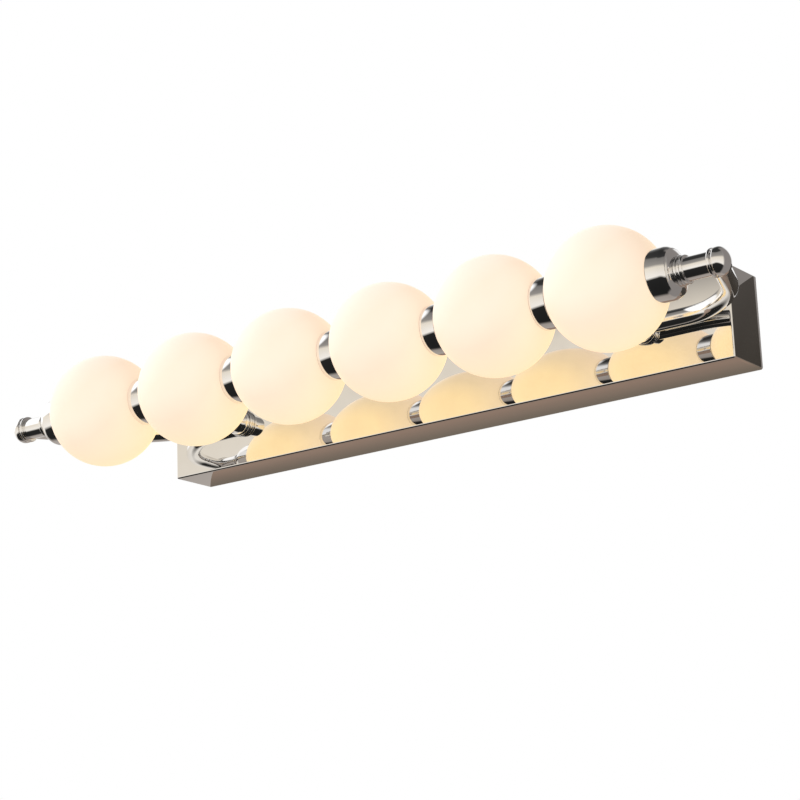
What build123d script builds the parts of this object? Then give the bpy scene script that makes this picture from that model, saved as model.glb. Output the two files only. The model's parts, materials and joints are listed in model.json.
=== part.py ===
"""Vanity light bar: six opal globes strung on a bar that two swept arms hold off a box backplate.

Millimetres, +Z up. The wall is the plane Y = 0 and the room is on the -Y side. The origin lies on
the wall, behind the middle of the backplate. X runs along the bar, and +X is on the right of
somebody who faces the wall.
"""
from build123d import *
from math import asin, cos, degrees, radians, sin, sqrt
import os

# ---- driving dimensions ----
globe_count = 6
globe_r = 50.0            # outside radius of a glass globe
globe_wall = 2.5
mouth_r = 17.0            # opening at each end of a globe
pitch = 105.7             # from globe to globe along the bar
plate_w = 600.0           # backplate: width, height and depth
plate_h = 82.0
plate_d = 49.0
sheet = 1.2               # backplate sheet thickness
standoff = 138.0          # from the backplate's front to the bar's axis
bar_drop = 7.0            # bar's axis below the middle of the backplate
arm_r = 7.5               # arm tube
arm_wall = 1.2
hub_x = 218.0             # where an arm's foot stands on the backplate
hub_drop = 1.0
turn_limit = 150.0        # the bar turns this far each way, in degrees

# ---- derived places ----
plate_y = -plate_d
bar_y = plate_y - standoff
bar_z = -bar_drop
hub_z = -hub_drop
last_globe = pitch * (globe_count - 1) / 2
globe_xs = [pitch * i - last_globe for i in range(globe_count)]
coupling_xs = [(a + b) / 2 for a, b in zip(globe_xs, globe_xs[1:])]
bar_axis = Axis((0, bar_y, bar_z), (1, 0, 0))

# ---- fits ----
free = 0.05               # gap between parts that are screwed or pushed together
running = 0.04            # radial gap of the bar's bearings

# ---- parts strung on the bar ----
drum_r = 21.5             # couplings and end cups
drum_wall = 1.8
gasket_gap = 0.1
gasket_t = 0.5            # silicone between glass and metal
seat_r = globe_r + gasket_t + 2 * gasket_gap
lip_r = mouth_r - 0.6     # rim that centres a globe's mouth
carrier_r = 6.3           # steel tube that everything is strung on
carrier_bore = 4.9
carrier_hole = carrier_r + free
web_t = 4.0               # web that joins a drum to its hub
hub_half = 5.0            # half the length of a coupling's hub
hub_r = 9.5
core_flat = 9.0           # LED core: half the distance across its flats
board_l, board_w, board_t = 56.0, 7.0, 1.0

# ---- bar ends, as distances from the last globe's centre ----
cup_edge = 56.5           # end of the cup's straight side
cup_crease = 62.0
cup_crease_r = 19.0
cup_nose = 64.6
cup_nose_r = 12.4
cup_web = 53.0
collar_start, collar_end = 64.7, 69.8
collar_r = 12.0
swivel_flange = (70.2, 72.4)
swivel_flange_r = 11.6
rod_r = 9.5
rod_end = 93.6
bead_1 = (93.7, 96.1)     # the two beads of the end hub and the groove between them
bead_2 = (97.9, 100.2)
bead_r = 11.8
groove_r = 9.0
dome_end = 108.4
journal_start = 60.4      # bearing inside the collar
journal_r = 6.4
bush_r = 7.9
plug_r = 10.9             # part of the collar that sits in the cup's nose
carrier_end = 60.1
spindle_bore = 3.6
spigot_end = 100.0        # spindle's thread inside the end hub
spigot_r = 6.5
lead_way_r = 4.2
grub_r = 0.8
grub_x = last_globe + (bead_1[1] + bead_2[0]) / 2

os.makedirs("parts", exist_ok=True)


def save(piece, name):
    """Label a finished piece and write it as one STEP file."""
    piece.part.label = name
    export_step(piece.part, f"parts/{name}.step")


def bar_plane(x=0.0, side=1):
    """Plane through the bar's axis: local X along the bar, away from its middle, local Y radial."""
    return Plane(origin=(x, bar_y, bar_z), x_dir=(side, 0, 0), z_dir=(0, -side, 0))


def cross_plane(x):
    """Plane square to the bar at this x, with its local X away from the room."""
    return Plane(origin=(x, bar_y, bar_z), x_dir=(0, 1, 0), z_dir=(1, 0, 0))


def seat_x(radius, sphere_r=seat_r):
    """Distance from a globe's centre, along the bar, to the given sphere at this radius."""
    return sqrt(sphere_r**2 - radius**2)


def seat_arc(from_r, to_r, sphere_r=seat_r, middle=0.0, sign=1):
    """Arc that follows a globe between two distances from the bar's axis."""
    radii = (from_r, (from_r + to_r) / 2, to_r)
    return ThreePointArc(*[(middle + sign * seat_x(r, sphere_r), r) for r in radii])


# ================= parts strung on the bar =================

def globe(x):
    """Blown opal globe with a round mouth at each end."""
    inner_r = globe_r - globe_wall
    out_x, in_x = seat_x(mouth_r, globe_r), seat_x(mouth_r, inner_r)
    with BuildPart() as piece:
        with BuildSketch(bar_plane(x)) as outline:
            with BuildLine():
                ThreePointArc((-out_x, mouth_r), (0, globe_r), (out_x, mouth_r))
                Line((out_x, mouth_r), (in_x, mouth_r))
                ThreePointArc((in_x, mouth_r), (0, inner_r), (-in_x, mouth_r))
                Line((-in_x, mouth_r), (-out_x, mouth_r))
            make_face()
            fillet(outline.vertices(), 0.6)
        revolve(axis=bar_axis)
    return piece


for number, x in enumerate(globe_xs, 1):
    save(globe(x), f"globe_{number}")

# Silicone ring on each side of every globe, curved to the glass.
gasket_in, gasket_out = mouth_r + 1.0, drum_r - 0.5
with BuildPart() as gaskets:
    for x in globe_xs:
        for side in (-1, 1):
            with BuildSketch(bar_plane(x, side)):
                with BuildLine():
                    near = seat_arc(gasket_in, gasket_out, globe_r + gasket_gap)
                    far = seat_arc(gasket_out, gasket_in, seat_r - gasket_gap)
                    Line(near @ 1, far @ 0)
                    Line(far @ 1, near @ 0)
                make_face()
            revolve(axis=bar_axis)
save(gaskets, "globe_gaskets")


def coupling(x):
    """Chrome drum between two globes: rim, centring lip, web and hub in one turned piece."""
    half = pitch / 2
    rim_x = half - seat_x(drum_r)
    inner_r = drum_r - drum_wall - 2.6
    inner_x = half - seat_x(inner_r)
    lip_x = half - seat_x(mouth_r, globe_r - globe_wall) - 0.4
    with BuildPart() as piece:
        with BuildSketch(bar_plane(x)):
            with BuildLine():
                Polyline(
                    (0, carrier_hole), (hub_half, carrier_hole), (hub_half, hub_r),
                    (web_t / 2, hub_r), (web_t / 2, lip_r - 1.6), (lip_x, lip_r - 1.6),
                    (lip_x, lip_r), (inner_x - 0.5, lip_r), (inner_x, inner_r),
                )
                seat_arc(inner_r, drum_r, middle=half, sign=-1)
                Polyline((rim_x, drum_r), (0, drum_r), (0, carrier_hole))
            make_face()
            mirror(about=Plane.YZ)
        revolve(axis=bar_axis)
    return piece


for number, x in enumerate(coupling_xs, 1):
    save(coupling(x), f"coupling_{number}")

# Steel tube that carries the couplings, the LED cores and the end cups.
carrier_half = last_globe + carrier_end
with BuildPart() as carrier:
    with BuildSketch(cross_plane(-carrier_half)):
        Circle(carrier_r)
        Circle(carrier_bore, mode=Mode.SUBTRACT)
    extrude(amount=2 * carrier_half)
save(carrier, "carrier_tube")

# Hexagonal aluminium core inside each globe. It spaces the couplings and carries the LED boards.
core_ends = pitch / 2 - hub_half
board_rest = core_flat + free / 2
for number, x in enumerate(globe_xs, 1):
    out_left = core_ends - free if number > 1 else cup_web - free
    out_right = core_ends - free if number < globe_count else cup_web - free
    with BuildPart() as core:
        with BuildSketch(cross_plane(x - out_left)):
            RegularPolygon(core_flat, 6, major_radius=False)
            Circle(carrier_hole, mode=Mode.SUBTRACT)
        extrude(amount=out_left + out_right)
    save(core, f"led_core_{number}")

# LED boards: one on each face of every core.
core_faces = 6
with BuildPart() as boards:
    for x in globe_xs:
        for face in range(core_faces):
            turn = radians(360 * (face + 0.5) / core_faces)
            outward = (0, cos(turn), sin(turn))
            seat = Plane(
                origin=(x, bar_y + board_rest * cos(turn), bar_z + board_rest * sin(turn)),
                x_dir=(1, 0, 0), z_dir=outward,
            )
            with BuildSketch(seat):
                Rectangle(board_l, board_w)
            extrude(amount=board_t)
save(boards, "led_boards")


# ================= bar ends =================

def turned(side, *outline):
    """Piece of revolution on the bar's axis, outlined from the last globe's centre outwards."""
    with BuildPart() as piece:
        with BuildSketch(bar_plane(side * last_globe, side)):
            with BuildLine():
                Polyline(*outline, close=True)
            make_face()
        revolve(axis=bar_axis)
    return piece


def end_cup(side):
    """Cup that closes the string: straight side, sloped shoulder, crease and shallow nose."""
    rim_x = seat_x(drum_r)
    inner_r = drum_r - drum_wall - 2.6
    inner_x = seat_x(inner_r)
    lip_x = seat_x(mouth_r, globe_r - globe_wall) + 0.4
    with BuildPart() as piece:
        with BuildSketch(bar_plane(side * last_globe, side)):
            with BuildLine():
                Polyline(
                    (cup_web, carrier_hole), (cup_web, lip_r - 1.6), (lip_x, lip_r - 1.6),
                    (lip_x, lip_r), (inner_x - 0.5, lip_r), (inner_x, inner_r),
                )
                seat_arc(inner_r, drum_r)
                Line((rim_x, drum_r), (cup_edge, drum_r))
                RadiusArc((cup_edge, drum_r), (cup_crease, cup_crease_r), 9)
                RadiusArc((cup_crease, cup_crease_r), (cup_nose, cup_nose_r), 26)
                Polyline(
                    (cup_nose, cup_nose_r), (cup_nose, plug_r + free),
                    (cup_web + web_t, plug_r + free), (cup_web + web_t, carrier_hole),
                    (cup_web, carrier_hole),
                )
            make_face()
        revolve(axis=bar_axis)
    return piece


# Stop: a pin in the right spindle's flange runs in a groove of the right collar.
pin_r = 0.7
pin_orbit = 9.6
groove_half_w = 0.9
groove_deep = 2.2
pin_out = 1.7             # how far the pin sits in the spindle's flange
stop_arc = 2 * (turn_limit + degrees(asin(pin_r / pin_orbit)) + 2)


def collar(side):
    """Two beads beside the cup and a plug that fills the cup's nose and holds the bush."""
    middle = (collar_start + collar_end) / 2
    edge = collar_r - 0.9
    notch = 0.3
    bore = bush_r + free
    with BuildPart() as piece:
        with BuildSketch(bar_plane(side * last_globe, side)):
            with BuildLine():
                Polyline(
                    (journal_start, bore), (journal_start, plug_r), (collar_start, plug_r),
                    (collar_start, edge),
                )
                ThreePointArc(
                    (collar_start, edge), ((collar_start + middle - notch) / 2, collar_r),
                    (middle - notch, edge),
                )
                Polyline(
                    (middle - notch, edge), (middle - notch, edge - 0.7),
                    (middle + notch, edge - 0.7), (middle + notch, edge),
                )
                ThreePointArc(
                    (middle + notch, edge), ((collar_end + middle + notch) / 2, collar_r),
                    (collar_end, edge),
                )
                Polyline((collar_end, edge), (collar_end, bore), (journal_start, bore))
            make_face()
        revolve(axis=bar_axis)
        if side > 0:
            half_arc = radians(stop_arc / 2)
            groove_start = Plane(
                origin=(last_globe + collar_end, bar_y, bar_z),
                x_dir=(1, 0, 0), z_dir=(0, -cos(half_arc), sin(half_arc)),
            )
            with BuildSketch(groove_start):
                with Locations((0, pin_orbit)):
                    Rectangle(2 * groove_deep, 2 * groove_half_w)
            revolve(axis=bar_axis, revolution_arc=stop_arc, mode=Mode.SUBTRACT)
    return piece


# ---- the arm's line, seen from above: x along the wall, y away from the backplate ----
foot_reach = 12.6
arm_bends = [(279.9, foot_reach), (327.0, 46.0)]
arm_radii = [48.5, 128.5]
arm_tip = (last_globe + 98.6, standoff)
arm_slope = (hub_drop - bar_drop) / (standoff - foot_reach)


def arm_point(side, point):
    """Point of the arm's line in space: the arm falls a little from its foot to the bar."""
    x, reach = point
    return (side * x, plate_y - reach, hub_z + (reach - foot_reach) * arm_slope)


def arm_line(side, first, last):
    """Wire of the arm: straight runs joined by two bends."""
    corners = [arm_point(side, bend) for bend in arm_bends]
    return FilletPolyline(
        arm_point(side, first), *corners, arm_point(side, last), radius=arm_radii,
    )


def arm_direction(side):
    """Direction of the arm's last run, from the bar back towards the wall."""
    start = Vector(*arm_point(side, arm_tip))
    return (Vector(*arm_point(side, arm_bends[-1])) - start).normalized()


def lead_way(side):
    """Plane of the passage by which the lead leaves the bar's end and enters the arm."""
    return Plane(origin=(side * arm_tip[0], bar_y, bar_z), z_dir=tuple(arm_direction(side)))


def spindle(side):
    """Polished rod between the swivel and the end hub, with its journal and its flange."""
    face_in, face_out = swivel_flange
    with BuildPart() as piece:
        with BuildSketch(bar_plane(side * last_globe, side)):
            with BuildLine():
                Polyline(
                    (journal_start, spindle_bore), (journal_start, journal_r),
                    (face_in, journal_r), (face_in, swivel_flange_r - 0.5),
                    (face_in + 0.5, swivel_flange_r), (face_out - 0.5, swivel_flange_r),
                    (face_out, swivel_flange_r - 0.5), (face_out, rod_r), (rod_end, rod_r),
                    (rod_end, spigot_r), (spigot_end, spigot_r), (spigot_end, spindle_bore),
                    close=True,
                )
            make_face()
        revolve(axis=bar_axis)
        with BuildSketch(lead_way(side)):
            Circle(lead_way_r)
        extrude(amount=2 * bead_r, mode=Mode.SUBTRACT)
        if side > 0:
            with BuildSketch(cross_plane(last_globe + face_in)):
                with Locations((0, pin_orbit)):
                    Circle(pin_r + free)
            extrude(amount=pin_out, mode=Mode.SUBTRACT)
    return piece


def end_hub(side):
    """End of the bar: two beads, a groove and a dome, bored for the spindle and the lead."""
    with BuildPart() as piece:
        with BuildSketch(bar_plane(side * last_globe, side)):
            with BuildLine():
                Polyline(
                    (bead_1[0], spigot_r + free), (bead_1[0], bead_r - 0.8),
                    (bead_1[0] + 0.8, bead_r), (bead_1[1] - 0.8, bead_r),
                    (bead_1[1], bead_r - 0.8), (bead_1[1], groove_r), (bead_2[0], groove_r),
                    (bead_2[0], bead_r - 0.8), (bead_2[0] + 0.8, bead_r), (bead_2[1], bead_r),
                )
                EllipticalCenterArc(
                    (bead_2[1], 0), dome_end - bead_2[1], bead_r, start_angle=0, arc_size=90,
                )
                Polyline(
                    (dome_end, 0), (spigot_end + 2.6, 0), (spigot_end + 2.6, spigot_r + free),
                    (bead_1[0], spigot_r + free),
                )
            make_face()
        revolve(axis=bar_axis)
        with BuildSketch(lead_way(side)):
            Circle(lead_way_r)
        extrude(amount=2 * bead_r, mode=Mode.SUBTRACT)
        with BuildSketch(Plane.XY.offset(bar_z)):
            with Locations((side * grub_x, bar_y)):
                Circle(grub_r + free)
        extrude(amount=bead_r, mode=Mode.SUBTRACT)
    return piece


def arm(side):
    """Bent tube from the foot to the end hub, coped to the round pieces that it is brazed to."""
    with BuildPart() as piece:
        with BuildLine():
            arm_line(side, (hub_x, foot_reach), arm_tip)
        start = Plane(origin=arm_point(side, (hub_x, foot_reach)), z_dir=(side, 0, 0))
        with BuildSketch(start):
            Circle(arm_r)
            Circle(arm_r - arm_wall, mode=Mode.SUBTRACT)
        sweep()
        with BuildSketch(bar_plane(side * last_globe, side)):
            with BuildLine():
                Polyline(
                    (swivel_flange[1], 0), (swivel_flange[1], rod_r + free),
                    (bead_1[0] - free, rod_r + free), (bead_1[0] - free, bead_r + free),
                    (bead_2[1], bead_r + free),
                )
                EllipticalCenterArc(
                    (bead_2[1], 0), dome_end - bead_2[1] + free, bead_r + free,
                    start_angle=0, arc_size=90,
                )
                Line((dome_end + free, 0), (swivel_flange[1], 0))
            make_face()
        revolve(axis=bar_axis, mode=Mode.SUBTRACT)
        foot = Plane(origin=(side * hub_x, plate_y, hub_z), z_dir=(0, -1, 0))
        with BuildSketch(foot):
            Circle(foot_drum_r + free)
        extrude(amount=foot_height + 1, mode=Mode.SUBTRACT)
        with BuildSketch(foot):
            Circle(foot_ring_r + free)
        extrude(amount=foot_rings_top + free, mode=Mode.SUBTRACT)
    return piece


# ================= arm feet =================
foot_ring_r = 13.0
foot_rings = [(0.05, 2.7, 13.0), (3.7, 6.2, 12.4)]   # from, to, radius: measured off the backplate
foot_rings_top = 6.2
foot_drum_r = 10.0
foot_height = 23.5
foot_shoulder = 18.5
nipple_r = 4.9
nipple_bore = 3.2
nipple_in = 10.0          # thread left inside the backplate
nipple_out = 3.5          # thread inside the foot


def foot_plane(side):
    """Plane through a foot's axis: local X away from the wall, local Y radial."""
    return Plane(origin=(side * hub_x, plate_y, hub_z), x_dir=(0, -1, 0), z_dir=(1, 0, 0))


def foot_axis(side):
    """Axis of an arm's foot, square to the backplate."""
    return Axis((side * hub_x, plate_y, hub_z), (0, -1, 0))


def foot_ring(side):
    """Stepped ring that covers the hole in the backplate."""
    (low_1, high_1, ring_1), (low_2, high_2, ring_2) = foot_rings
    bore = nipple_r + free
    with BuildPart() as piece:
        with BuildSketch(foot_plane(side)):
            with BuildLine():
                Polyline(
                    (low_1, bore), (low_1, ring_1), (high_1 - 0.6, ring_1),
                    (high_1, ring_1 - 0.6), (high_1, foot_drum_r + 0.6),
                    (low_2, foot_drum_r + 0.6), (low_2, ring_2 - 0.6), (low_2 + 0.6, ring_2),
                    (high_2 - 0.6, ring_2), (high_2, ring_2 - 0.6), (high_2, bore), close=True,
                )
            make_face()
        revolve(axis=foot_axis(side))
    return piece


def foot_hub(side):
    """Round foot with a domed front. The arm's tube is brazed to its outer side."""
    low = foot_rings_top + free
    with BuildPart() as piece:
        with BuildSketch(foot_plane(side)):
            with BuildLine():
                Polyline((foot_height, 0), (low, 0), (low, foot_drum_r), (foot_shoulder, foot_drum_r))
                EllipticalCenterArc(
                    (foot_shoulder, 0), foot_height - foot_shoulder, foot_drum_r,
                    start_angle=0, arc_size=90,
                )
            make_face()
        revolve(axis=foot_axis(side))
        with BuildSketch(Plane(origin=(side * hub_x, plate_y - low, hub_z), z_dir=(0, -1, 0))):
            Circle(nipple_r + free)
        extrude(amount=foot_reach + 4.4 - low, mode=Mode.SUBTRACT)
        with BuildSketch(Plane(origin=arm_point(side, (hub_x, foot_reach)), z_dir=(side, 0, 0))):
            Circle(lead_way_r)
        extrude(amount=foot_drum_r + 1, mode=Mode.SUBTRACT)
    return piece


def ring_stack(places, axis_dir, inner_r, outer_r, thickness, sides=0):
    """Group of equal washers (or of nuts, with sides) on the given centres."""
    with BuildPart() as group:
        for place in places:
            with BuildSketch(Plane(origin=place, z_dir=axis_dir)):
                if sides:
                    RegularPolygon(outer_r, sides, major_radius=False)
                else:
                    Circle(outer_r)
                Circle(inner_r, mode=Mode.SUBTRACT)
            extrude(amount=thickness)
    return group


inner_face = plate_y + sheet
for side, name in ((-1, "left"), (1, "right")):
    save(end_cup(side), f"{name}_end_cup")
    save(collar(side), f"{name}_collar")
    save(spindle(side), f"{name}_spindle")
    save(end_hub(side), f"{name}_end_hub")
    save(arm(side), f"{name}_arm")
    save(foot_ring(side), f"{name}_foot_ring")
    save(foot_hub(side), f"{name}_foot")
    bush = turned(
        side,
        (journal_start, journal_r + running), (journal_start, bush_r),
        (collar_end, bush_r), (collar_end, journal_r + running),
    )
    save(bush, f"{name}_bush")
    with BuildPart() as nipple:
        with BuildSketch(Plane(
            origin=(side * hub_x, inner_face + nipple_in, hub_z), z_dir=(0, -1, 0),
        )):
            Circle(nipple_r)
            Circle(nipple_bore, mode=Mode.SUBTRACT)
        extrude(amount=nipple_in + sheet + foot_rings_top + nipple_out)
    save(nipple, f"{name}_nipple")

washer_t, nut_t = 1.2, 4.0
foot_places = [(side * hub_x, inner_face + free, hub_z) for side in (-1, 1)]
save(ring_stack(foot_places, (0, 1, 0), nipple_r + free, 10, washer_t), "nipple_washers")
nut_places = [(side * hub_x, inner_face + washer_t + 2 * free, hub_z) for side in (-1, 1)]
save(ring_stack(nut_places, (0, 1, 0), nipple_r + free, 7.5, nut_t, 6), "nipple_nuts")

# Nuts that clamp the string of globes on the carrier tube, inside the end cups.
with BuildPart() as clamp_washers:
    for side in (-1, 1):
        with BuildSketch(Plane(
            origin=(side * (last_globe + cup_web + web_t + free), bar_y, bar_z), z_dir=(side, 0, 0),
        )):
            Circle(9.5)
            Circle(carrier_hole, mode=Mode.SUBTRACT)
        extrude(amount=0.8)
save(clamp_washers, "carrier_washers")
with BuildPart() as clamp_nuts:
    for side in (-1, 1):
        with BuildSketch(Plane(
            origin=(side * (last_globe + cup_web + web_t + 0.9), bar_y, bar_z), z_dir=(side, 0, 0),
        )):
            RegularPolygon(8.6, 6, major_radius=False)
            Circle(carrier_hole, mode=Mode.SUBTRACT)
        extrude(amount=2.2)
save(clamp_nuts, "carrier_nuts")

# Pin that stops the bar's turn, set in the right spindle's flange.
pin_start = collar_end - groove_deep + 0.4
with BuildPart() as stop_pin:
    with BuildSketch(cross_plane(last_globe + pin_start)):
        with Locations((0, pin_orbit)):
            Circle(pin_r)
    extrude(amount=swivel_flange[0] + pin_out - free - pin_start)
save(stop_pin, "stop_pin")

# Grub screws that lock the end hubs on the spindles, from above.
with BuildPart() as grub_screws:
    with BuildSketch(Plane.XY.offset(bar_z + spigot_r + free)):
        with Locations((-grub_x, bar_y), (grub_x, bar_y)):
            Circle(grub_r)
    extrude(amount=groove_r - spigot_r)
save(grub_screws, "hub_grub_screws")

# ================= backplate and what it holds =================
edge_r = 0.8
with BuildPart() as canopy:
    with BuildSketch(Plane.XZ.offset(plate_d)):
        Rectangle(plate_w, plate_h)
    extrude(amount=-plate_d)
    outer = canopy.edges().filter_by(Axis.Y) + canopy.faces().sort_by(Axis.Y)[0].edges()
    fillet(outer, edge_r)
    with BuildSketch(Plane.XZ.offset(plate_d - sheet)):
        Rectangle(plate_w - 2 * sheet, plate_h - 2 * sheet)
    extrude(amount=-plate_d, mode=Mode.SUBTRACT)
    with BuildSketch(Plane(origin=(0, 0, hub_z), z_dir=(0, -1, 0), x_dir=(1, 0, 0))):
        with Locations((-hub_x, 0), (hub_x, 0)):
            Circle(nipple_r + 0.2)
    extrude(amount=plate_d + 1, mode=Mode.SUBTRACT)
    screw_xs = (-200.0, 200.0)
    screw_y = -9.0
    with BuildSketch(Plane.XY.offset(plate_h / 2 - 2 * sheet)):
        with Locations(*[(x, screw_y) for x in screw_xs]):
            Circle(2.2)
    extrude(amount=4 * sheet, mode=Mode.SUBTRACT)
save(canopy, "backplate")

driver_x, driver_l, driver_h, driver_d = -150.0, 132.0, 40.0, 26.0
ear_l, ear_t = 10.0, 1.6
driver_ear_xs = [driver_x - driver_l / 2 - ear_l / 2, driver_x + driver_l / 2 + ear_l / 2]
driver_screw_r = 1.6
ground_x, ground_z = -60.0, 22.0
ground_screw_r = 1.9

# Steel channel that is screwed to the wall. The backplate slides over its two flanges.
bracket_w = 560.0
bracket_t = 1.5
bracket_gap = 0.3
bracket_h = plate_h - 2 * sheet - 2 * bracket_gap
flange_d = 16.0
slot_spacing = 88.9
slot_l, slot_r = 22.0, 2.6
anchor_spacing, anchor_r = 480.0, 2.75
entry_r = 11.0
with BuildPart() as bracket:
    with BuildSketch(Plane.YZ.offset(-bracket_w / 2)):
        with BuildLine():
            top, low = bracket_h / 2, -bracket_h / 2
            Polyline(
                (0, low), (0, top), (-flange_d, top), (-flange_d, top - bracket_t),
                (-bracket_t, top - bracket_t), (-bracket_t, low + bracket_t),
                (-flange_d, low + bracket_t), (-flange_d, low), close=True,
            )
        make_face()
    extrude(amount=bracket_w)
    with BuildSketch(Plane(origin=(0, 1, 0), z_dir=(0, -1, 0), x_dir=(1, 0, 0))):
        with Locations((-slot_spacing / 2, 0), (slot_spacing / 2, 0)):
            SlotOverall(slot_l, 2 * slot_r)
        with Locations((-anchor_spacing / 2, 0), (anchor_spacing / 2, 0)):
            Circle(anchor_r)
        Circle(entry_r)
        with Locations(*[(x, 0) for x in driver_ear_xs]):
            Circle(driver_screw_r + free)
        with Locations((ground_x, ground_z)):
            Circle(ground_screw_r + free)
    extrude(amount=3, mode=Mode.SUBTRACT)
    with BuildSketch(Plane.XY.offset(bracket_h / 2 - 2 * bracket_t)):
        with Locations(*[(x, screw_y) for x in screw_xs]):
            Circle(1.7)
    extrude(amount=4 * bracket_t, mode=Mode.SUBTRACT)
save(bracket, "wall_bracket")


def pan_screws(places, axis_dir, shank_r, head_r, head_t, length):
    """Group of equal pan-head screws. Each place is the middle of the head's underside."""
    away = Vector(*axis_dir)
    with BuildPart() as group:
        for place in places:
            with BuildSketch(Plane(origin=place, z_dir=axis_dir)):
                Circle(head_r)
            extrude(amount=head_t)
            with BuildSketch(Plane(origin=place, z_dir=tuple(-away))):
                Circle(shank_r)
            extrude(amount=length)
        tops = group.faces().filter_by(GeomType.PLANE).filter_by(
            lambda face: (face.normal_at() - away).length < 0.01
        )
        fillet(tops.edges().filter_by(lambda edge: abs(edge.radius - head_r) < 0.01), head_t / 2)
    return group


cover_places = [(x, screw_y, plate_h / 2 + free) for x in screw_xs]
save(pan_screws(cover_places, (0, 0, 1), 1.65, 3.4, 1.8, 8.0), "cover_screws")

# LED driver on the bracket, with a mounting ear at each end.
driver_back = -bracket_t - free
with BuildPart() as driver:
    with BuildSketch(Plane.XZ.offset(-driver_back)):
        with Locations((driver_x, 0)):
            Rectangle(driver_l, driver_h)
    extrude(amount=driver_d)
    fillet(driver.edges().filter_by(Axis.Y), 2)
    with BuildSketch(Plane.XZ.offset(-driver_back)):
        with Locations((driver_x, 0)):
            Rectangle(driver_l + 2 * ear_l, driver_h - 12)
    extrude(amount=ear_t)
    with BuildSketch(Plane.XZ.offset(-driver_back - 1)):
        with Locations(*[(x, 0) for x in driver_ear_xs]):
            Circle(1.9)
    extrude(amount=ear_t + 2, mode=Mode.SUBTRACT)
save(driver, "led_driver")
driver_places = [(x, driver_back - ear_t - free, 0) for x in driver_ear_xs]
driver_thread = ear_t + bracket_t
save(pan_screws(driver_places, (0, -1, 0), driver_screw_r, 3.2, 1.7, driver_thread), "driver_screws")

# Terminal block for the house wires, three ways.
block_x, block_l, block_h, block_d = 86.0, 30.0, 18.0, 14.0
way_xs = [block_x + step for step in (-9.0, 0.0, 9.0)]
with BuildPart() as block:
    with BuildSketch(Plane.XZ.offset(-driver_back)):
        with Locations((block_x, 0)):
            Rectangle(block_l, block_h)
    extrude(amount=block_d)
    fillet(block.edges().filter_by(Axis.Y), 1)
    for x in way_xs:
        with BuildSketch(Plane(origin=(x, driver_back - block_d / 2, block_h / 2), z_dir=(0, 0, -1))):
            Circle(2.0)
        extrude(amount=6, mode=Mode.SUBTRACT)
        with BuildSketch(Plane(origin=(x, driver_back - block_d / 2, -block_h / 2))):
            Circle(2.0)
        extrude(amount=6, mode=Mode.SUBTRACT)
save(block, "terminal_block")

ground_places = [(ground_x, driver_back, ground_z)]
save(pan_screws(ground_places, (0, -1, 0), ground_screw_r, 4.2, 2.2, bracket_t), "ground_screw")

# Two wires from the driver into the first two ways of the terminal block.
wire_r = 1.0
wire_y = driver_back - block_d / 2
driver_out = driver_x + driver_l / 2
with BuildPart() as input_leads:
    for x, height in zip(way_xs, (13.0, 17.0)):
        with BuildLine():
            FilletPolyline(
                (driver_out + free, wire_y, height), (x, wire_y, height),
                (x, wire_y, block_h / 2 - 4), radius=3.0,
            )
        with BuildSketch(Plane(origin=(driver_out + free, wire_y, height), z_dir=(1, 0, 0))):
            Circle(wire_r)
        sweep()
save(input_leads, "input_leads")

# Two-core lead: driver, right nipple, foot, arm, end hub and spindle.
lead_r = 1.5
lead_y = driver_back - driver_d / 2
lead_corner_r = 6.0
lead_drop = -16.0
lead_start = driver_out + free
spindle_way = last_globe + journal_start + 0.6
with BuildPart() as lead:
    with BuildLine():
        FilletPolyline(
            (lead_start, lead_y, lead_drop), (hub_x, lead_y, lead_drop),
            (hub_x, lead_y, hub_z), arm_point(1, (hub_x, foot_reach)),
            *[arm_point(1, bend) for bend in arm_bends],
            arm_point(1, arm_tip), (spindle_way, bar_y, bar_z),
            radius=[lead_corner_r, 5.5, 5.5, *arm_radii, 3.0],
        )
    with BuildSketch(Plane(origin=(lead_start, lead_y, lead_drop), z_dir=(1, 0, 0))):
        Circle(lead_r)
    sweep()
save(lead, "arm_lead")

# Plug and lead inside the carrier tube. They turn with the bar.
plug_l = 12.0
plug_x = last_globe + carrier_end - 0.2
bar_lead_end = -last_globe - 40.0
with BuildPart() as plug:
    with BuildSketch(cross_plane(plug_x - plug_l)):
        Circle(carrier_bore - 0.7)
    extrude(amount=plug_l)
save(plug, "lead_plug")
with BuildPart() as bar_lead:
    with BuildSketch(cross_plane(bar_lead_end)):
        Circle(lead_r)
    extrude(amount=plug_x - plug_l - free - bar_lead_end)
save(bar_lead, "bar_lead")
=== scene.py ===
"""Looks of the vanity light bar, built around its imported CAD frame. Metres, +Z up, wall at Y = 0."""
import json
import math

import bmesh
import bpy
from mathutils import Matrix, Vector


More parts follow.
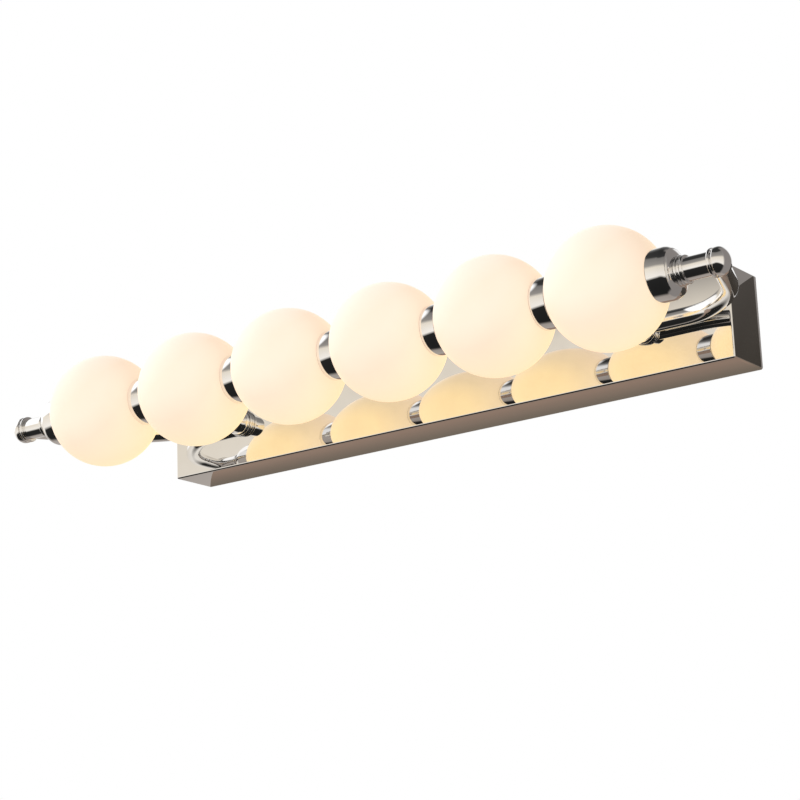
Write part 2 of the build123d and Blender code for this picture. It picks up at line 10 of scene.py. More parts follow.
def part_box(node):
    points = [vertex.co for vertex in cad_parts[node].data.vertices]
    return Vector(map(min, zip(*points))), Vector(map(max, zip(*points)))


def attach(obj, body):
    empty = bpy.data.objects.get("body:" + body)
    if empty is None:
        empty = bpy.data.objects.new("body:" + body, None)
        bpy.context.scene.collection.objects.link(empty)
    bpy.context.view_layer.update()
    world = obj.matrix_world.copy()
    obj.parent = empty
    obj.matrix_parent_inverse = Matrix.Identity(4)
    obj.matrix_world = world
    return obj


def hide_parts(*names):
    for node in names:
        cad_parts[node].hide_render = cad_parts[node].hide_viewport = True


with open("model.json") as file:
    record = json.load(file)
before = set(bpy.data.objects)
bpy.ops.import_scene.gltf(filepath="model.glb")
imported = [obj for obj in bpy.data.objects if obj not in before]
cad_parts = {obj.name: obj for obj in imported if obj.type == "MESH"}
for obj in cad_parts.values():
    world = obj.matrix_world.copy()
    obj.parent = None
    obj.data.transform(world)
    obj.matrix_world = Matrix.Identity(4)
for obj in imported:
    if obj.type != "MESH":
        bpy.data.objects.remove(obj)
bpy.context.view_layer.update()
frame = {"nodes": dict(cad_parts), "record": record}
MM = 0.001

# ---- sizes of the real object, in millimetres, seats and cups measured from a globe's centre ----
GLOBE_R, GLOBE_WALL, MOUTH_R = 50.0, 2.5, 17.0
DRUM_R, SEAT_R, SEAT_INNER_R, LIP_R, LIP_WALL, LIP_REACH = 21.5, 50.7, 17.1, 16.4, 1.6, 1.2
HUB_HALF, HUB_R, WEB_HALF, CARRIER_R = 5.0, 9.5, 2.0, 6.35
CUP_EDGE, CUP_CREASE, CUP_CREASE_R, CUP_NOSE, CUP_NOSE_R = 56.5, 62.0, 19.0, 64.6, 12.4
CUP_WEB, CUP_POCKET = 53.0, 57.0
COLLAR = (64.65, 69.8)
COLLAR_R, COLLAR_BORE, COLLAR_PLUG_R, COLLAR_PLUG = 12.0, 7.95, 10.9, 60.4
BEAD_BULGE, NOTCH_HALF, NOTCH_DEPTH = 0.9, 0.3, 0.7
SWIVEL = (70.2, 72.4)
SWIVEL_R, JOURNAL_R, ROD_R, ROD_END = 11.6, 6.4, 9.5, 93.65
BEADS = ((93.7, 96.1), (97.9, 100.2))
BEAD_R, GROOVE_R, DOME_END = 11.8, 9.0, 108.4
ARM_R = 7.5
FOOT_RINGS = ((0.05, 2.7, 13.0), (3.7, 6.2, 12.4))
FOOT_RING_BORE, FOOT_NECK_R = 5.0, 10.6
FOOT_R, FOOT_SHOULDER, FOOT_TOP, FOOT_REACH = 10.0, 18.5, 23.5, 12.6
ARM_CORNERS = ((279.9, 12.6), (327.0, 46.0))
ARM_BENDS, BEND_STEPS = (48.5, 128.5), 24
ARM_TIP_X = 98.6
SHEET, EDGE_ROUND = 1.2, 1.9
BOW_MIDDLE, BOW_R = -50.0, 3400.0
LEFT_TWIST = 0.75       # slope across the sheet over the square of the metres left of the middle
SCREW_R, SCREW_HEAD, SCREW_SHANK_R, SCREW_LENGTH = 3.4, 1.8, 1.65, 8.0
RECESS_L, RECESS_W, RECESS_DEPTH, RECESS_TAPER = 3.4, 0.9, 1.1, 0.6
NEARLY_STRAIGHT = math.radians(165)


# ================= places, read from the CAD =================

def middle(node):
    """Centre of a CAD node's box."""
    low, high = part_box(node)
    return (low + high) / 2


bar_centre = middle("coupling_3")
globe_centres = [Vector((middle(f"globe_{n}").x, bar_centre.y, bar_centre.z)) for n in range(1, 7)]
coupling_centres = [middle(f"coupling_{n}") for n in range(1, 6)]
plate_low, plate_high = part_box("backplate")
plate_front = plate_low.y
foot_low, foot_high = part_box("right_foot")
foot_centre = (foot_low + foot_high) / 2
SIDES = {"left": -1, "right": 1}


# ================= mesh helpers =================

def new_object(name, mesh, material, body, *nodes):
    """Put a mesh in the scene on a CAD body, standing for the CAD nodes named."""
    piece = bpy.data.objects.new(name, mesh)
    bpy.context.scene.collection.objects.link(piece)
    mesh.materials.append(material)
    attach(piece, body)
    if nodes:
        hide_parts(*nodes)
    return piece


def soften(outline, radius, steps=3):
    """Outline with each of its corners replaced by a small curve."""
    result = []
    count = len(outline)
    for i in range(count):
        before, here, after = (Vector(outline[j % count]) for j in (i - 1, i, i + 1))
        back, ahead = before - here, after - here
        if min(back.length, ahead.length) < 1e-6 or back.angle(ahead) > NEARLY_STRAIGHT:
            result.append(here)
            continue
        start = here + back.normalized() * min(radius, back.length * 0.45)
        end = here + ahead.normalized() * min(radius, ahead.length * 0.45)
        for k in range(steps + 1):
            t = k / steps
            result.append(start * (1 - t) ** 2 + here * 2 * t * (1 - t) + end * t**2)
    return [tuple(p) for p in result]


def arc(centre, radius_x, radius_y, start, end, steps):
    """Points of an elliptical arc, angles in degrees."""
    points = []
    for k in range(steps + 1):
        angle = math.radians(start + (end - start) * k / steps)
        points.append((centre[0] + radius_x * math.cos(angle), centre[1] + radius_y * math.sin(angle)))
    return points


def seat(from_r, to_r, middle_x=0.0, sign=1, steps=6):
    """Points that follow a globe between two distances from the bar's axis."""
    points = []
    for k in range(steps + 1):
        r = from_r + (to_r - from_r) * k / steps
        points.append((middle_x + sign * math.sqrt(SEAT_R**2 - r**2), r))
    return points


def bulge(start, end, height, steps=6):
    """Points between two profile points on a curve that stands out by the height given."""
    a, b = Vector(start), Vector(end)
    out = Vector((-(b - a).y, (b - a).x)).normalized()
    return [tuple(a.lerp(b, k / steps) + out * height * math.sin(math.pi * k / steps))
            for k in range(steps + 1)]


def ring_around(bm, centre, side, up, radius, segments):
    """Circle of vertices about a centre in metres, in the plane of two directions, radius in mm."""
    turns = [2 * math.pi * k / segments for k in range(segments)]
    return [bm.verts.new(centre + (side * math.cos(t) + up * math.sin(t)) * radius * MM) for t in turns]


def skin(bm, near, far):
    """Faces between two rings, either of which may be a single point."""
    count = max(len(near), len(far))
    for k in range(count if len(near) + len(far) > 2 else 0):
        n = (k + 1) % count
        if len(near) == 1:
            bm.faces.new((near[0], far[k], far[n]))
        elif len(far) == 1:
            bm.faces.new((near[k], far[0], near[n]))
        else:
            bm.faces.new((near[k], far[k], far[n], near[n]))


def lathe(name, outline, origin, axis, segments=144, sharp=40):
    """Turned mesh from a closed outline of (along the axis, radius) points, in millimetres."""
    axis = Vector(axis).normalized()
    side = axis.orthogonal().normalized()
    up = axis.cross(side)
    bm = bmesh.new()
    rings = []
    for along, radius in outline:
        centre = Vector(origin) + axis * along * MM
        if radius < 1e-4:
            rings.append([bm.verts.new(centre)])
        else:
            rings.append(ring_around(bm, centre, side, up, radius, segments))
    for i, ring in enumerate(rings):
        skin(bm, rings[i - 1], ring)
    bmesh.ops.recalc_face_normals(bm, faces=bm.faces)
    return to_mesh(name, bm, sharp)


def to_mesh(name, bm, sharp):
    """Mesh from a bmesh, shaded smooth up to the sharp angle."""
    mesh = bpy.data.meshes.new(name)
    bm.to_mesh(mesh)
    bm.free()
    mesh.shade_smooth()
    mesh.set_sharp_from_angle(angle=math.radians(sharp))
    return mesh


def tube(name, line, radius, segments=64):
    """Closed round tube along a line of points in metres."""
    bm = bmesh.new()
    rings = []
    side = None
    for i, point in enumerate(line):
        ahead = line[min(i + 1, len(line) - 1)] - line[max(i - 1, 0)]
        ahead.normalize()
        if side is None:
            side = ahead.orthogonal().normalized()
        side = (side - ahead * side.dot(ahead)).normalized()
        rings.append(ring_around(bm, point, side, ahead.cross(side), radius, segments))
    for near, far in zip(rings, rings[1:]):
        skin(bm, near, far)
    bm.faces.new(rings[0])
    bm.faces.new(rings[-1])
    bmesh.ops.recalc_face_normals(bm, faces=bm.faces)
    return to_mesh(name, bm, 40)


# ================= materials =================
PAINTED_GLOW_AXIS = Vector((0, 0.94, -0.34))     # painted shading of the glow, from the cool side of a globe to its warm side
PAINTED_GLOW_STOPS = (
    (0.12, (0.75, 0.61, 0.49)), (0.28, (0.74, 0.56, 0.42)),
    (0.77, (0.84, 0.63, 0.36)), (0.93, (1.03, 0.75, 0.36)),
)
# painted highlight: the glow turns paler on the side of each globe that faces this way
PAINTED_PALE_SIDE, PAINTED_PALE_GLOW = Vector((-0.55, -0.35, 0.76)), (0.80, 0.71, 0.63, 1)
BLACK = (0, 0, 0, 1)
FINE_GRAIN = 0.0001                      # height of a metal or glass surface's grain, in metres


def fill(tree, node, inputs):
    """Set each of a node's inputs to a value, or link a socket to it."""
    for key, value in inputs.items():
        if isinstance(value, bpy.types.NodeSocket):
            tree.links.new(value, node.inputs[key])
        else:
            node.inputs[key].default_value = value
    return node


def node_material(name):
    """New node material, with its tree, its shader and its object coordinates."""
    material = bpy.data.materials.new(name)
    material.use_nodes = True
    tree = material.node_tree
    coords = tree.nodes.new("ShaderNodeTexCoord")
    return material, tree, tree.nodes["Principled BSDF"], coords.outputs["Object"]


def noise(tree, coords, scale, detail=3.0, stretch=(1, 1, 1)):
    """Noise texture in the object's own coordinates."""
    mapping = fill(tree, tree.nodes.new("ShaderNodeMapping"), {"Vector": coords, "Scale": stretch})
    texture = fill(tree, tree.nodes.new("ShaderNodeTexNoise"), {
        "Vector": mapping.outputs["Vector"], "Scale": scale, "Detail": detail,
    })
    return texture.outputs["Fac"]


def spread(tree, value, low, high, from_low=0.3, from_high=0.7, smooth=False):
    """Map a value to a range, evenly or on a smooth step."""
    node = tree.nodes.new("ShaderNodeMapRange")
    if smooth:
        node.interpolation_type = "SMOOTHSTEP"
    fill(tree, node, {
        "Value": value, "From Min": from_low, "From Max": from_high, "To Min": low, "To Max": high,
    })
    return node.outputs["Result"]


def colour_ramp(tree, value, stops):
    """Colour ramp over a value, with stops of (position, grey or colour)."""
    node = fill(tree, tree.nodes.new("ShaderNodeValToRGB"), {"Fac": value})
    elements = node.color_ramp.elements
    while len(elements) < len(stops):
        elements.new(0.5)
    for element, (position, colour) in zip(elements, stops):
        element.position = position
        element.color = (*colour, 1) if isinstance(colour, tuple) else (colour, colour, colour, 1)
    return node.outputs["Color"]


def blend_colour(tree, value, low, high):
    """Blend two colours by a texture value."""
    return colour_ramp(tree, value, ((0.3, low), (0.7, high)))


def over(tree, base, cover, factor):
    """Cover colour laid over a base colour where the factor is 1."""
    node = tree.nodes.new("ShaderNodeMix")
    node.data_type = "RGBA"
    return fill(tree, node, {"Factor": factor, "A": base, "B": cover}).outputs["Result"]


def combine(tree, operation, *values):
    """Math node over sockets or numbers."""
    node = tree.nodes.new("ShaderNodeMath")
    node.operation = operation
    return fill(tree, node, dict(enumerate(values))).outputs["Value"]


def measure_along(tree, vector, direction):
    """Length of a vector along a direction."""
    node = tree.nodes.new("ShaderNodeVectorMath")
    node.operation = "DOT_PRODUCT"
    return fill(tree, node, {0: vector, 1: direction}).outputs["Value"]


def separate(tree, coords):
    """X, Y and Z of a vector."""
    return fill(tree, tree.nodes.new("ShaderNodeSeparateXYZ"), {"Vector": coords}).outputs


def bump(tree, shader, height, strength, distance):
    """Feed a height into the shader's normal, on top of any height already there."""
    node = fill(tree, tree.nodes.new("ShaderNodeBump"), {
        "Height": height, "Strength": strength, "Distance": distance,
    })
    for link in shader.inputs["Normal"].links:
        tree.links.new(link.from_socket, node.inputs["Normal"])
    tree.links.new(node.outputs["Normal"], shader.inputs["Normal"])


def sheet_bow(tree, coords, radius):
    """Height of a sheet that is hollow along its length and a little twisted at its left end."""
    place = separate(tree, coords)
    from_middle = combine(tree, "ADD", place["X"], -BOW_MIDDLE * MM)
    square = combine(tree, "MULTIPLY", from_middle, from_middle)
    hollow = combine(tree, "MULTIPLY", square, 0.5 / (radius * MM))
    left = combine(tree, "MINIMUM", place["X"], 0.0)
    rise = combine(tree, "MULTIPLY", place["Z"], -LEFT_TWIST)
    twist = combine(tree, "MULTIPLY", combine(tree, "MULTIPLY", left, left), rise)
    return combine(tree, "ADD", hollow, twist)


def metal(name, low, high, rough_low, rough_high, grain=(1, 1, 1), grain_scale=900.0,
          strength=0.02, edge_tone=None, bow=None):
    """Metal with tone, roughness and grain, and with a paler tone on sharp convex edges or a bowed
    sheet's radius if given.
    """
    material, tree, shader, coords = node_material(name)
    tone = blend_colour(tree, noise(tree, coords, 38, 4), low, high)
    smudge = spread(tree, noise(tree, coords, 70, 5), rough_low, rough_high)
    if edge_tone:
        # paler tone where the surface is sharply convex
        geometry = tree.nodes.new("ShaderNodeNewGeometry")
        edge = spread(tree, geometry.outputs["Pointiness"], 0.0, 1.0, 0.53, 0.62)
        tone = over(tree, tone, edge_tone, edge)
    fill(tree, shader, {"Metallic": 1.0, "Base Color": tone, "Roughness": smudge})
    if bow:
        bump(tree, shader, sheet_bow(tree, coords, bow), 1.0, 1.0)
    bump(tree, shader, noise(tree, coords, grain_scale, 2, grain), strength, FINE_GRAIN)
    return material


def plastic(name, low, high, rough, grain_scale=1600.0, strength=0.15):
    """Moulded plastic or rubber with a fine surface grain."""
    material, tree, shader, coords = node_material(name)
    fill(tree, shader, {
        "Base Color": blend_colour(tree, noise(tree, coords, 25, 3), low, high),
        "Roughness": spread(tree, noise(tree, coords, 60, 3), rough, rough + 0.12),
    })
    bump(tree, shader, noise(tree, coords, grain_scale, 2), strength, 2 * FINE_GRAIN)
    return material


def opal(name):
    """Satin opal glass lit from inside, with painted shading and a painted highlight in its glow:
    warmer low down and on the wall side, paler upper left.
    """
    material, tree, shader, coords = node_material(name)
    half_band = GLOBE_R * MM
    centre = bar_centre.yz.dot(PAINTED_GLOW_AXIS.yz)
    # painted shading: the glow's colour runs from cool to warm across each globe
    painted_warmth = spread(
        tree, measure_along(tree, coords, PAINTED_GLOW_AXIS), 0.0, 1.0, centre - half_band, centre + half_band,
    )
    # painted highlight on the upper left of each globe, laid over the painted warm shading
    facing = measure_along(tree, coords.node.outputs["Normal"], PAINTED_PALE_SIDE.normalized())
    pale = spread(tree, facing, 0.0, 1.0, 0.3, 0.95)
    fill(tree, shader, {
        "Base Color": blend_colour(
            tree, noise(tree, coords, 14, 3), (0.40, 0.37, 0.31), (0.46, 0.43, 0.37),
        ),
        "Roughness": spread(tree, noise(tree, coords, 30, 3), 0.42, 0.55),
        "Specular IOR Level": 0.25,
        "Emission Color": over(tree, colour_ramp(tree, painted_warmth, PAINTED_GLOW_STOPS), PAINTED_PALE_GLOW, pale),
        "Emission Strength": 1.0,
    })
    bump(tree, shader, noise(tree, coords, 1400, 2), 0.05, FINE_GRAIN)
    return material


# paler tone laid on sharp convex edges
PALE_EDGE_TONE = (0.95, 0.94, 0.92, 1)
BRUSHED = (0.05, 1, 1)
materials = {
    "opal_glass": opal("opal_glass"),
    "chrome": metal(
        "chrome", (0.82, 0.81, 0.80), (0.92, 0.91, 0.90), 0.02, 0.07, edge_tone=PALE_EDGE_TONE,
    ),
    "mirror_steel": metal(
        "mirror_steel", (0.78, 0.765, 0.75), (0.82, 0.81, 0.795), 0.008, 0.025,
        grain_scale=600.0, strength=0.003, edge_tone=PALE_EDGE_TONE, bow=BOW_R,
    ),
    "steel": metal("steel", (0.45, 0.45, 0.46), (0.6, 0.6, 0.61), 0.25, 0.42, BRUSHED),
    "zinc_steel": metal(
        "zinc_steel", (0.42, 0.44, 0.47), (0.66, 0.67, 0.66), 0.28, 0.5,
        strength=0.1, edge_tone=PALE_EDGE_TONE,
    ),
    "core_aluminium": metal(
        "core_aluminium", (0.66, 0.67, 0.68), (0.8, 0.8, 0.81), 0.25, 0.4, BRUSHED,
    ),
    "led_board": plastic("led_board", (0.80, 0.80, 0.76), (0.88, 0.88, 0.85), 0.4),
    "silicone": plastic("silicone", (0.50, 0.46, 0.40), (0.62, 0.58, 0.50), 0.55),
    "bush_nylon": plastic("bush_nylon", (0.75, 0.73, 0.67), (0.84, 0.82, 0.77), 0.4),
    "ground_brass": metal(
        "ground_brass", (0.02, 0.22, 0.06), (0.05, 0.32, 0.1), 0.25, 0.4, strength=0.1,
    ),
    "driver_case": plastic("driver_case", (0.70, 0.70, 0.69), (0.80, 0.80, 0.79), 0.38),
    "terminal_plastic": plastic("terminal_plastic", (0.62, 0.60, 0.53), (0.74, 0.72, 0.65), 0.35),
    "plug_plastic": plastic("plug_plastic", (0.75, 0.74, 0.7), (0.86, 0.85, 0.81), 0.4),
    "lead_pvc": plastic("lead_pvc", (0.72, 0.72, 0.70), (0.82, 0.82, 0.80), 0.3),
}
slot_of = {part["node"]: part["material_slot"] for part in frame["record"]["subparts"]}
for node, thing in frame["nodes"].items():
    thing.data.materials.clear()
    thing.data.materials.append(materials[slot_of[node]])
chrome = materials["chrome"]


# ================= globes and couplings =================

def globe_outline():
    """Section of a globe: outside, mouth, inside, mouth."""
    inner = GLOBE_R - GLOBE_WALL
    out_cut = math.degrees(math.asin(MOUTH_R / GLOBE_R)) + 0.6
    in_cut = math.degrees(math.asin(MOUTH_R / inner)) + 0.7
    outside = arc((0, 0), GLOBE_R, GLOBE_R, out_cut, 180 - out_cut, 72)
    inside = arc((0, 0), inner, inner, 180 - in_cut, in_cut, 36)
    lip = GLOBE_WALL / 2
    left = arc((outside[-1][0] + lip, MOUTH_R + 0.2), lip, 0.6, 200, 340, 4)
    right = arc((outside[0][0] - lip, MOUTH_R + 0.2), lip, 0.6, 200, 340, 4)
    return outside + left + inside + right


def coupling_outline():
    """Section of a coupling: drum, seats, lips, web and hub."""
    half = (coupling_centres[1] - coupling_centres[0]).x / MM / 2
    seat_out = seat(SEAT_INNER_R, DRUM_R, half, -1)
    lip_x = seat_out[0][0] + LIP_REACH
    lip_inner_r = LIP_R - LIP_WALL
    right = [(HUB_HALF, CARRIER_R), (HUB_HALF, HUB_R), (WEB_HALF, HUB_R), (WEB_HALF, lip_inner_r),
             (lip_x, lip_inner_r), (lip_x, LIP_R), (seat_out[0][0] - 0.4, LIP_R)]
    right += seat_out
    left = [(-x, r) for x, r in reversed(right)]
    return soften(right + left, 0.35)


for number, centre in enumerate(globe_centres, 1):
    mesh = lathe(f"glass_{number}", globe_outline(), centre, (1, 0, 0), 160, 60)
    new_object(f"glass_{number}", mesh, materials["opal_glass"], "light_bar", f"globe_{number}")
for number, centre in enumerate(coupling_centres, 1):
    mesh = lathe(f"drum_{number}", coupling_outline(), centre, (1, 0, 0))
    new_object(f"drum_{number}", mesh, chrome, "light_bar", f"coupling_{number}")


# ================= bar ends =================

def cup_outline():
    """Section of an end cup, from the last globe's centre outwards."""
    skirt = seat(SEAT_INNER_R, DRUM_R)
    lip_x = skirt[0][0] - LIP_REACH
    lip_inner_r = LIP_R - LIP_WALL
    pocket_r = COLLAR_PLUG_R + 0.05
    start = soften([(CUP_WEB, CARRIER_R), (CUP_WEB, lip_inner_r), (lip_x, lip_inner_r),
                    (lip_x, LIP_R), (skirt[0][0] + 0.4, LIP_R)], 0.2)
    rim = soften([skirt[-1], (CUP_EDGE, DRUM_R)], 0.3)
    shoulder = bulge((CUP_EDGE, DRUM_R), (CUP_CREASE, CUP_CREASE_R), 0.45)
    nose = bulge((CUP_CREASE, CUP_CREASE_R - 0.15), (CUP_NOSE, CUP_NOSE_R), 0.35, 8)
    end = [(CUP_NOSE + 0.02, CUP_NOSE_R - 0.5), (CUP_NOSE, pocket_r), (CUP_POCKET, pocket_r),
           (CUP_POCKET, CARRIER_R)]
    return start + skirt[:-1] + rim[:1] + shoulder + nose + end


def collar_outline():
    """Section of a collar: plug, two beads and the notch between them."""
    start, end = COLLAR
    centre = (start + end) / 2
    edge = COLLAR_R - BEAD_BULGE
    notch = [(centre - NOTCH_HALF, edge - NOTCH_DEPTH), (centre + NOTCH_HALF, edge - NOTCH_DEPTH)]
    first = bulge((start, edge), (centre - NOTCH_HALF, edge), BEAD_BULGE, 10)
    second = bulge((centre + NOTCH_HALF, edge), (end, edge), BEAD_BULGE, 10)
    plug = [(COLLAR_PLUG, COLLAR_BORE), (COLLAR_PLUG, COLLAR_PLUG_R), (start, COLLAR_PLUG_R)]
    return plug + first + notch + second + [(end, COLLAR_BORE)]


def spindle_outline():
    """Section of a spindle: journal, thin flange and rod."""
    near, far = SWIVEL
    return soften([(COLLAR_PLUG, 0), (COLLAR_PLUG, JOURNAL_R), (near, JOURNAL_R),
                   (near, SWIVEL_R - 0.2), (near + 0.5, SWIVEL_R), (far - 0.5, SWIVEL_R),
                   (far, SWIVEL_R - 0.2), (far, ROD_R), (ROD_END, ROD_R), (ROD_END, 0)], 0.3)


def hub_outline():
    """Section of an end hub: two beads, the groove between them and the dome."""
    (near_1, far_1), (near_2, far_2) = BEADS
    beads = soften([(near_1, 0), (near_1, BEAD_R - 0.3), (near_1 + 0.7, BEAD_R),
                    (far_1 - 0.7, BEAD_R), (far_1, BEAD_R - 0.3), (far_1, GROOVE_R),
                    (near_2, GROOVE_R), (near_2, BEAD_R - 0.3), (near_2 + 0.7, BEAD_R),
                    (far_2, BEAD_R)], 0.3)
    dome = arc((far_2, 0), DOME_END - far_2, BEAD_R, 84, 0, 20)
    return beads[:-3] + dome


def arm_line(side):
    """Centre line of an arm: straight runs joined by two bends, from the foot to the bar's end."""
    foot_x = foot_centre.x / MM
    tip = (globe_centres[-1].x / MM + ARM_TIP_X, (plate_front - bar_centre.y) / MM)
    corners = [Vector((foot_x, FOOT_REACH)), *(Vector(c) for c in ARM_CORNERS), Vector(tip)]
    flat = [corners[0]]
    for i, radius in enumerate(ARM_BENDS, 1):
        back = (corners[i - 1] - corners[i]).normalized()
        ahead = (corners[i + 1] - corners[i]).normalized()
        half_turn = (math.pi - back.angle(ahead)) / 2
        reach = radius * math.tan(half_turn)
        centre = corners[i] + (back + ahead).normalized() * (radius / math.cos(half_turn))
        start = corners[i] + back * reach - centre
        turn = 2 * half_turn * (1 if back.x * ahead.y - back.y * ahead.x < 0 else -1)
        for k in range(BEND_STEPS + 1):
            flat.append(centre + Matrix.Rotation(turn * k / BEND_STEPS, 2) @ start)
    flat.append(corners[-1])
    rise = (bar_centre.z - foot_centre.z) / (tip[1] - FOOT_REACH)
    line = []
    for point in flat:
        height = foot_centre.z + (point.y - FOOT_REACH) * rise
        line.append(Vector((side * point.x * MM, plate_front - point.y * MM, height)))
    return line


def foot_ring_outline():
    """Section of the stepped ring on the backplate."""
    (low_1, high_1, ring_1), (low_2, high_2, ring_2) = FOOT_RINGS
    return soften([(low_1, FOOT_RING_BORE), (low_1, ring_1), (high_1 - 0.5, ring_1),
                   (high_1, ring_1 - 0.5), (high_1, FOOT_NECK_R), (low_2, FOOT_NECK_R),
                   (low_2, ring_2 - 0.4), (low_2 + 0.5, ring_2), (high_2 - 0.5, ring_2),
                   (high_2, ring_2 - 0.5), (high_2, FOOT_RING_BORE)], 0.3)


def foot_outline():
    """Section of the domed foot."""
    low = FOOT_RINGS[1][1] + 0.05
    dome = arc((FOOT_SHOULDER, 0), FOOT_TOP - FOOT_SHOULDER, FOOT_R, 90, 0, 20)
    return [(low, 0), (low, FOOT_R - 0.3), (low + 0.3, FOOT_R)] + dome


for name, side in SIDES.items():
    last = globe_centres[0] if side < 0 else globe_centres[-1]
    axis, away = (side, 0, 0), (0, -1, 0)
    foot = Vector((side * foot_centre.x, plate_front, foot_centre.z))
    for piece, outline, origin, direction, body, node in (
        ("cup", cup_outline(), last, axis, "light_bar", "end_cup"),
        ("beads", collar_outline(), last, axis, "light_bar", "collar"),
        ("rod", spindle_outline(), last, axis, "mount", "spindle"),
        ("knob", hub_outline(), last, axis, "mount", "end_hub"),
        ("rosette", foot_ring_outline(), foot, away, "mount", "foot_ring"),
        ("foot_dome", foot_outline(), foot, away, "mount", "foot"),
    ):
        mesh = lathe(f"{name}_{piece}", outline, origin, direction)
        new_object(f"{name}_{piece}", mesh, chrome, body, f"{name}_{node}")
    mesh = tube(f"{name}_swept_arm", arm_line(side), ARM_R)
    new_object(f"{name}_swept_arm", mesh, chrome, "mount", f"{name}_arm")


# ================= backplate =================

def backplate():
    """Folded box, open at the wall, with fine rounded edges."""
    bm = bmesh.new()
    shells = []
    for inset in (0.0, SHEET * MM):
        left, right = plate_low.x + inset, plate_high.x - inset
        bottom, top = plate_low.z + inset, plate_high.z - inset
        corners = [(left, bottom), (right, bottom), (right, top), (left, top)]
        shells.append((
            [bm.verts.new((x, plate_front + inset, z)) for x, z in corners],
            [bm.verts.new((x, plate_high.y, z)) for x, z in corners],
        ))
    (out_front, out_back), (in_front, in_back) = shells
    bm.faces.new(out_front)
    bm.faces.new(in_front)
    for k in range(4):
        n = (k + 1) % 4
        bm.faces.new((out_front[k], out_back[k], out_back[n], out_front[n]))
        bm.faces.new((in_front[k], in_back[k], in_back[n], in_front[n]))
        bm.faces.new((out_back[k], out_back[n], in_back[n], in_back[k]))
    bmesh.ops.recalc_face_normals(bm, faces=bm.faces)
    outer = set(out_front)
    edges = [e for e in bm.edges if e.verts[0] in outer or e.verts[1] in outer]
    bmesh.ops.bevel(bm, geom=edges, offset=EDGE_ROUND * MM, segments=4, profile=0.5, affect="EDGES")
    return to_mesh("plate_shell", bm, 30)


new_object("plate_shell", backplate(), materials["mirror_steel"], "mount", "backplate")


# ================= cover screws =================

def cross_outline(bm, centre, scale, height):
    """Outline of a cross recess at a height above the screw's seat."""
    tip, side = RECESS_L / 2, RECESS_W / 2
    quarter = [(tip, -side), (tip, side), (side, side)]
    outline = []
    for turn in range(4):
        spin = Matrix.Rotation(math.pi / 2 * turn, 2)
        for corner in quarter:
            x, y = spin @ Vector(corner) * scale
            outline.append(bm.verts.new(centre + Vector((x, y, height)) * MM))
    return outline


def cross_screws(name, centres):
    """Pan-head screws that stand upright, each with a cross recess."""
    profile = [(SCREW_SHANK_R, -SCREW_LENGTH), (SCREW_SHANK_R, 0), (SCREW_R - 0.15, 0), (SCREW_R, 0.2),
               (SCREW_R, SCREW_HEAD * 0.45), (SCREW_R * 0.93, SCREW_HEAD * 0.75),
               (SCREW_R * 0.82, SCREW_HEAD * 0.93), (SCREW_R * 0.70, SCREW_HEAD)]
    side, ahead, up = Matrix.Identity(3)
    bm = bmesh.new()
    for centre in centres:
        rings = [ring_around(bm, centre + up * height * MM, side, ahead, radius, 48)
                 for radius, height in profile]
        brim = cross_outline(bm, centre, 1.0, SCREW_HEAD)
        pit = cross_outline(bm, centre, RECESS_TAPER, SCREW_HEAD - RECESS_DEPTH)
        for near, far in [*zip(rings, rings[1:]), (brim, pit)]:
            skin(bm, near, far)
        bm.faces.new(rings[0])
        bm.faces.new(pit)
        edges = [bm.edges.get((loop[k - 1], loop[k])) for loop in (rings[-1], brim)
                 for k in range(len(loop))]
        bmesh.ops.bridge_loops(bm, edges=edges)
    bmesh.ops.recalc_face_normals(bm, faces=bm.faces)
    return to_mesh(name, bm, 35)


screws_low, screws_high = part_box("cover_screws")
screw_y = (screws_low.y + screws_high.y) / 2
screw_x = screws_high.x - SCREW_R * MM
screw_seat = screws_high.z - SCREW_HEAD * MM
screw_centres = [Vector((x, screw_y, screw_seat)) for x in (-screw_x, screw_x)]
screws = cross_screws("cross_screws", screw_centres)
new_object("cross_screws", screws, chrome, "mount", "cover_screws")


# ================= floor =================
FLOOR_DROP, FLOOR_R = 1.15, 14.0
FLOOR_GLOW, FLOOR_GLOW_STRENGTH = (0.80, 0.80, 0.79, 1), 0.2


def scenery(name, bm, material):
    """Mesh object that isn't part of the lamp."""
    thing = bpy.data.objects.new(name, to_mesh(name, bm, 30))
    bpy.context.scene.collection.objects.link(thing)
    thing.data.materials.append(material)
    return thing


def paint(name):
    """Pale matt paint that glows slightly, so that the floor stays pale from above."""
    material, tree, shader, coords = node_material(name)
    fill(tree, shader, {
        "Base Color": blend_colour(
            tree, noise(tree, coords, 3, 3), (0.80, 0.80, 0.79), (0.84, 0.84, 0.83),
        ),
        "Roughness": 0.9, "Emission Color": FLOOR_GLOW, "Emission Strength": FLOOR_GLOW_STRENGTH,
    })
    return material


floor_bm = bmesh.new()
bmesh.ops.create_circle(floor_bm, cap_ends=True, segments=96, radius=FLOOR_R)
bmesh.ops.translate(floor_bm, verts=floor_bm.verts, vec=(0, 0, -FLOOR_DROP))
floor = scenery("floor", floor_bm, paint("floor_paint"))
floor.visible_glossy = False


# ================= surroundings: white to the camera, a studio to reflections =================
world = bpy.data.worlds.new("studio")
bpy.context.scene.world = world
world.use_nodes = True
sky = world.node_tree
plain = sky.nodes["Background"]
fill(sky, plain, {"Color": (1, 1, 1, 1), "Strength": 1.0})
direction = sky.nodes.new("ShaderNodeTexCoord").outputs["Generated"]


def across(vector):
    """Value from 0 to 1 along a direction of the sky."""
    distance = measure_along(sky, direction, Vector(vector).normalized())
    return combine(sky, "MULTIPLY_ADD", distance, 0.5, 0.5)


def mask(vector, low, high):
    """Part of the sky that lies towards a direction, with a soft edge between two limits."""
    return spread(sky, across(vector), 0.0, 1.0, low, high, smooth=True)


